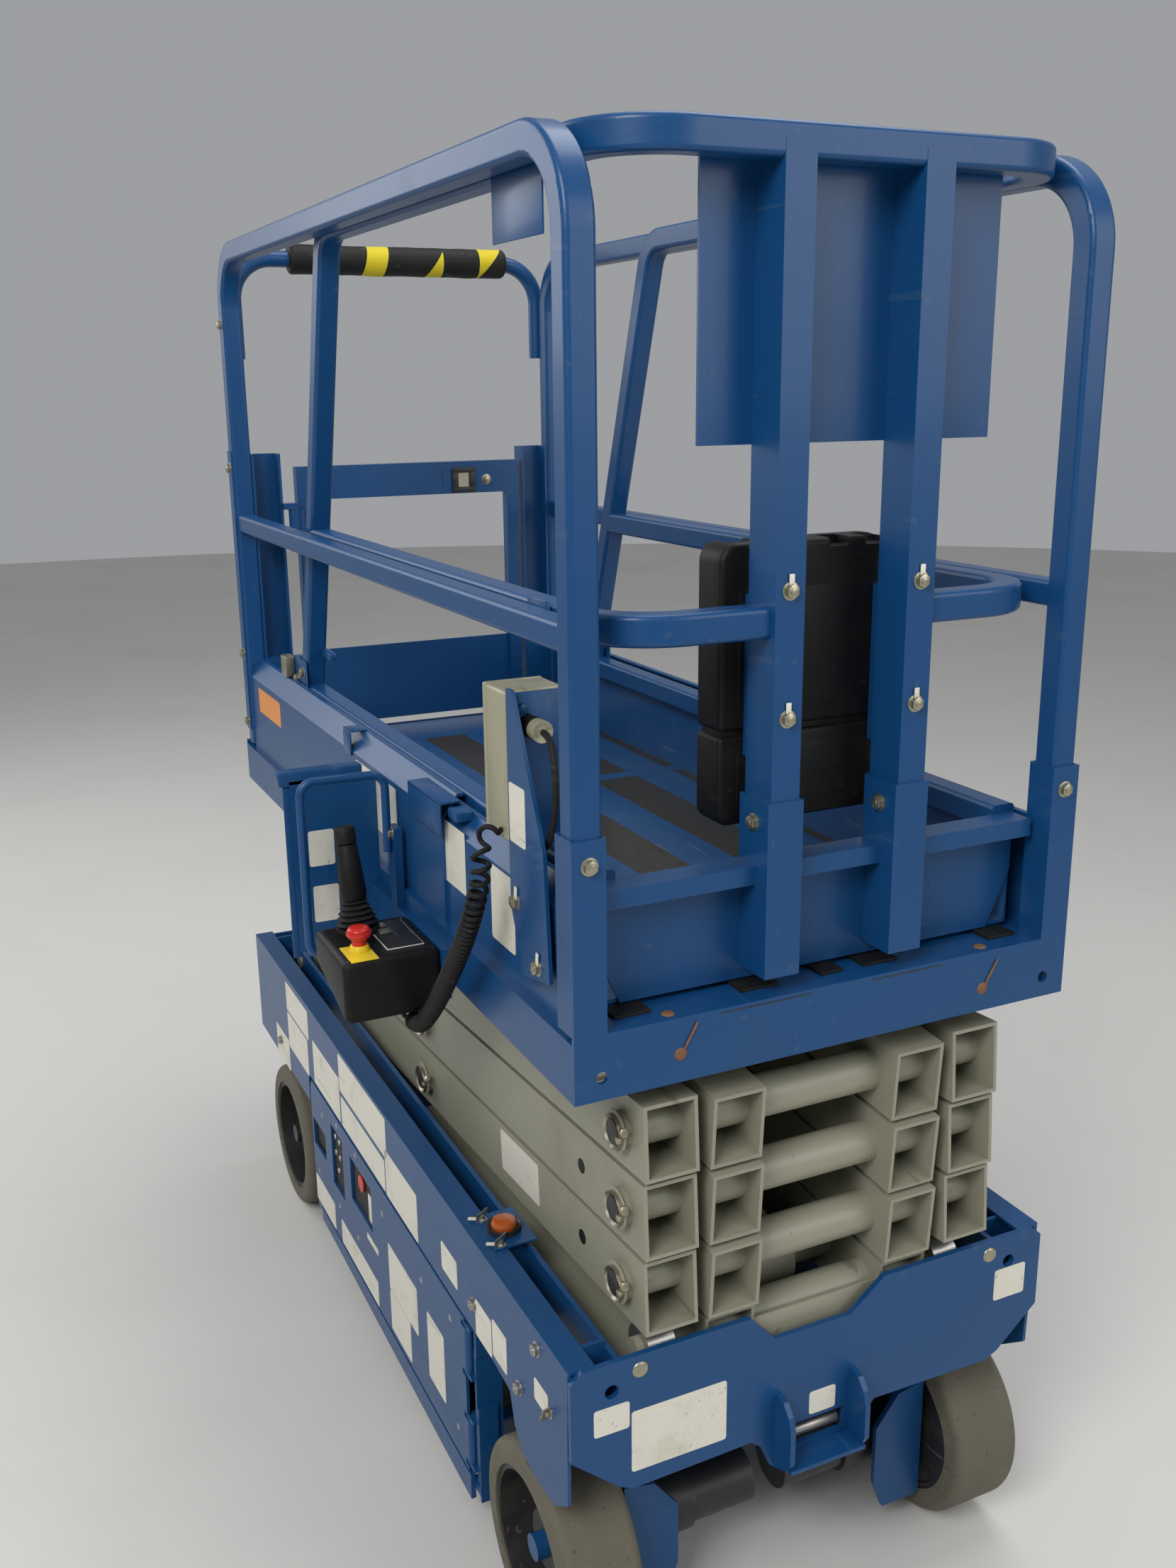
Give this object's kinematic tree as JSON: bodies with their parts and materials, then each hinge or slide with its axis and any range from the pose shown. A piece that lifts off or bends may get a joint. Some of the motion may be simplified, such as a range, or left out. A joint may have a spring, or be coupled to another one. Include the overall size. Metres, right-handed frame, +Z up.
{
  "type": "scissor lift",
  "caption": "Electric slab scissor lift with stacked tube arms, railed platform, slide-out deck, steered front wheels and swing-out side trays.",
  "frame": {"origin": "on the floor under the middle of the machine's bounding box", "axes": "+Z up, +X towards the steered wheels, +Y to the machine's left"},
  "size_m": [1.89, 0.907, 2.025],
  "materials": {
    "amber_plastic": "amber",
    "beige_plastic": "beige grey",
    "black_paint": "black paint",
    "black_plastic": "matt black",
    "blue_paint": "satin blue paint",
    "chrome": "hard chrome rod",
    "foam": "foam wrap",
    "grey_paint": "light grey paint",
    "rubber": "black rubber",
    "steel": "bare steel",
    "tyre_grey": "grey solid tyre"
  },
  "bodies": {
    "chassis": {"chassis_frame": "blue_paint", "frame_rails": "blue_paint", "roller_tracks": "blue_paint", "side_panels": "blue_paint", "end_plates": "blue_paint", "rear_axle": "black_paint", "ladder": "blue_paint", "beacon": "amber_plastic", "steer_cylinder": "black_paint"},
    "steer_rod": {"steer_rod": "steel"},
    "yoke_left": {"yoke_left": "blue_paint", "motor_left": "black_paint"},
    "yoke_right": {"yoke_right": "blue_paint", "motor_right": "black_paint"},
    "tray_left": {"tray_left": "blue_paint", "battery_block": "black_plastic"},
    "tray_right": {"tray_right": "blue_paint", "hydraulic_unit": "black_paint", "ground_controls": "black_plastic"},
    "guard_left": {"guard_left": "blue_paint"},
    "guard_right": {"guard_right": "blue_paint"},
    "arm_outer_1": {"arm_outer_1": "grey_paint"},
    "arm_inner_1": {"arm_inner_1": "grey_paint", "base_rollers": "steel"},
    "arm_outer_2": {"arm_outer_2": "grey_paint"},
    "arm_inner_2": {"arm_inner_2": "grey_paint"},
    "arm_outer_3": {"arm_outer_3": "grey_paint"},
    "arm_inner_3": {"arm_inner_3": "grey_paint"},
    "arm_outer_4": {"arm_outer_4": "grey_paint", "top_rollers": "steel"},
    "arm_inner_4": {"arm_inner_4": "grey_paint"},
    "lift_barrel": {"lift_barrel": "grey_paint"},
    "lift_rod": {"lift_rod": "chrome"},
    "platform": {"platform_frame": "blue_paint", "toe_boards": "blue_paint", "corner_sockets": "blue_paint", "entry_posts": "blue_paint", "outer_rails": "blue_paint", "entry_hoop": "blue_paint", "foam_wrap": "foam", "side_brackets": "blue_paint", "control_box": "black_plastic", "box_controls": "rubber", "junction_box": "beige_plastic", "coiled_cord": "rubber"},
    "entry_gate": {"entry_gate": "blue_paint"},
    "slide_deck": {"slide_deck": "blue_paint", "deck_front": "blue_paint", "slide_rails": "blue_paint", "document_box": "black_plastic"},
    "wheel_front_left": {"hub_front_left": "black_paint", "tyre_front_left": "tyre_grey"},
    "wheel_front_right": {"hub_front_right": "black_paint", "tyre_front_right": "tyre_grey"},
    "wheel_rear_left": {"hub_rear_left": "black_paint", "tyre_rear_left": "tyre_grey"},
    "wheel_rear_right": {"hub_rear_right": "black_paint", "tyre_rear_right": "tyre_grey"}
  },
  "joints": [
    {"name": "lift", "type": "hinge", "parent": "chassis", "child": "arm_outer_1", "pos_m": [-0.67711, 0.0735, 0.512], "axis": [0, -1, 0], "range_deg": [0, 55.91]},
    {"name": "inner_arm_1", "type": "hinge", "parent": "arm_outer_1", "child": "arm_inner_1", "pos_m": [0.08495, 0.0735, 0.5665], "axis": [0, -1, 0], "range_deg": [-111.83, 0]},
    {"name": "outer_arm_2", "type": "hinge", "parent": "arm_inner_1", "child": "arm_outer_2", "pos_m": [-0.67711, 0.0735, 0.621], "axis": [0, -1, 0], "range_deg": [0, 111.83]},
    {"name": "inner_arm_2", "type": "hinge", "parent": "arm_outer_2", "child": "arm_inner_2", "pos_m": [0.08495, 0.0735, 0.6755], "axis": [0, -1, 0], "range_deg": [-111.83, 0]},
    {"name": "outer_arm_3", "type": "hinge", "parent": "arm_inner_2", "child": "arm_outer_3", "pos_m": [-0.67711, 0.0735, 0.73], "axis": [0, -1, 0], "range_deg": [0, 111.83]},
    {"name": "inner_arm_3", "type": "hinge", "parent": "arm_outer_3", "child": "arm_inner_3", "pos_m": [0.08495, 0.0735, 0.7845], "axis": [0, -1, 0], "range_deg": [-111.83, 0]},
    {"name": "outer_arm_4", "type": "hinge", "parent": "arm_inner_3", "child": "arm_outer_4", "pos_m": [-0.67711, 0.0735, 0.839], "axis": [0, -1, 0], "range_deg": [0, 111.83]},
    {"name": "inner_arm_4", "type": "hinge", "parent": "arm_outer_4", "child": "arm_inner_4", "pos_m": [0.08495, 0.0735, 0.8935], "axis": [0, -1, 0], "range_deg": [-111.83, 0]},
    {"name": "platform_level", "type": "hinge", "parent": "arm_inner_4", "child": "platform", "pos_m": [-0.67711, 0.0735, 0.948], "axis": [0, -1, 0], "range_deg": [0, 55.92]},
    {"name": "barrel_pivot", "type": "hinge", "parent": "arm_inner_1", "child": "lift_barrel", "pos_m": [0.75555, 0.0735, 0.51854], "axis": [0, -1, 0], "range_deg": [-10.26, 0]},
    {"name": "rod_slide", "type": "slide", "parent": "lift_barrel", "child": "lift_rod", "axis": [-0.9887, 0, 0.1502], "range_m": [0, 1.2203]},
    {"name": "deck_slide", "type": "slide", "parent": "platform", "child": "slide_deck", "axis": [1, 0, 0], "range_m": [0, 0.91]},
    {"name": "entry_gate", "type": "hinge", "parent": "platform", "child": "entry_gate", "pos_m": [-0.708, -0.1765, 1.3], "axis": [0, 0, -1], "range_deg": [0, 85]},
    {"name": "steer_left", "type": "hinge", "parent": "chassis", "child": "yoke_left", "pos_m": [0.745, 0.2865, 0.33], "axis": [0, 0, 1], "range_deg": [-55, 55]},
    {"name": "steer_right", "type": "hinge", "parent": "chassis", "child": "yoke_right", "pos_m": [0.745, -0.1395, 0.33], "axis": [0, 0, 1], "range_deg": [-55.01, 55.01]},
    {"name": "steer_rod", "type": "slide", "parent": "chassis", "child": "steer_rod", "axis": [0, 1, 0], "range_m": [-0.083, 0.083]},
    {"name": "wheel_front_left", "type": "hinge", "parent": "yoke_left", "child": "wheel_front_left", "pos_m": [0.745, 0.3965, 0.1525], "axis": [0, 1, 0], "continuous": true},
    {"name": "wheel_front_right", "type": "hinge", "parent": "yoke_right", "child": "wheel_front_right", "pos_m": [0.745, -0.2495, 0.1525], "axis": [0, 1, 0], "continuous": true},
    {"name": "wheel_rear_left", "type": "hinge", "parent": "chassis", "child": "wheel_rear_left", "pos_m": [-0.575, 0.3965, 0.1525], "axis": [0, 1, 0], "continuous": true},
    {"name": "wheel_rear_right", "type": "hinge", "parent": "chassis", "child": "wheel_rear_right", "pos_m": [-0.575, -0.2495, 0.1525], "axis": [0, 1, 0], "continuous": true},
    {"name": "tray_left", "type": "hinge", "parent": "chassis", "child": "tray_left", "pos_m": [0.517, 0.4455, 0.25], "axis": [0, 0, -1], "range_deg": [0, 85]},
    {"name": "tray_right", "type": "hinge", "parent": "chassis", "child": "tray_right", "pos_m": [0.517, -0.2985, 0.25], "axis": [0, 0, 1], "range_deg": [0, 85]},
    {"name": "guard_left", "type": "slide", "parent": "chassis", "child": "guard_left", "axis": [0, 0, -1], "range_m": [0, 0.038]},
    {"name": "guard_right", "type": "slide", "parent": "chassis", "child": "guard_right", "axis": [0, 0, -1], "range_m": [0, 0.0381]}
  ],
  "couplings": [
    {"joint": "inner_arm_1", "follows": "lift", "ratio": -2},
    {"joint": "outer_arm_2", "follows": "lift", "ratio": 2},
    {"joint": "inner_arm_2", "follows": "lift", "ratio": -2},
    {"joint": "outer_arm_3", "follows": "lift", "ratio": 2},
    {"joint": "inner_arm_3", "follows": "lift", "ratio": -2},
    {"joint": "outer_arm_4", "follows": "lift", "ratio": 2},
    {"joint": "inner_arm_4", "follows": "lift", "ratio": -2},
    {"joint": "platform_level", "follows": "lift", "ratio": 1},
    {"joint": "barrel_pivot", "follows": "lift", "ratio": -0.18325},
    {"joint": "rod_slide", "follows": "lift", "m_per_rad": 1.25},
    {"joint": "steer_right", "follows": "steer_left", "ratio": 1},
    {"joint": "steer_rod", "follows": "steer_left", "m_per_rad": -0.085},
    {"joint": "guard_right", "follows": "guard_left", "ratio": 1}
  ]
}
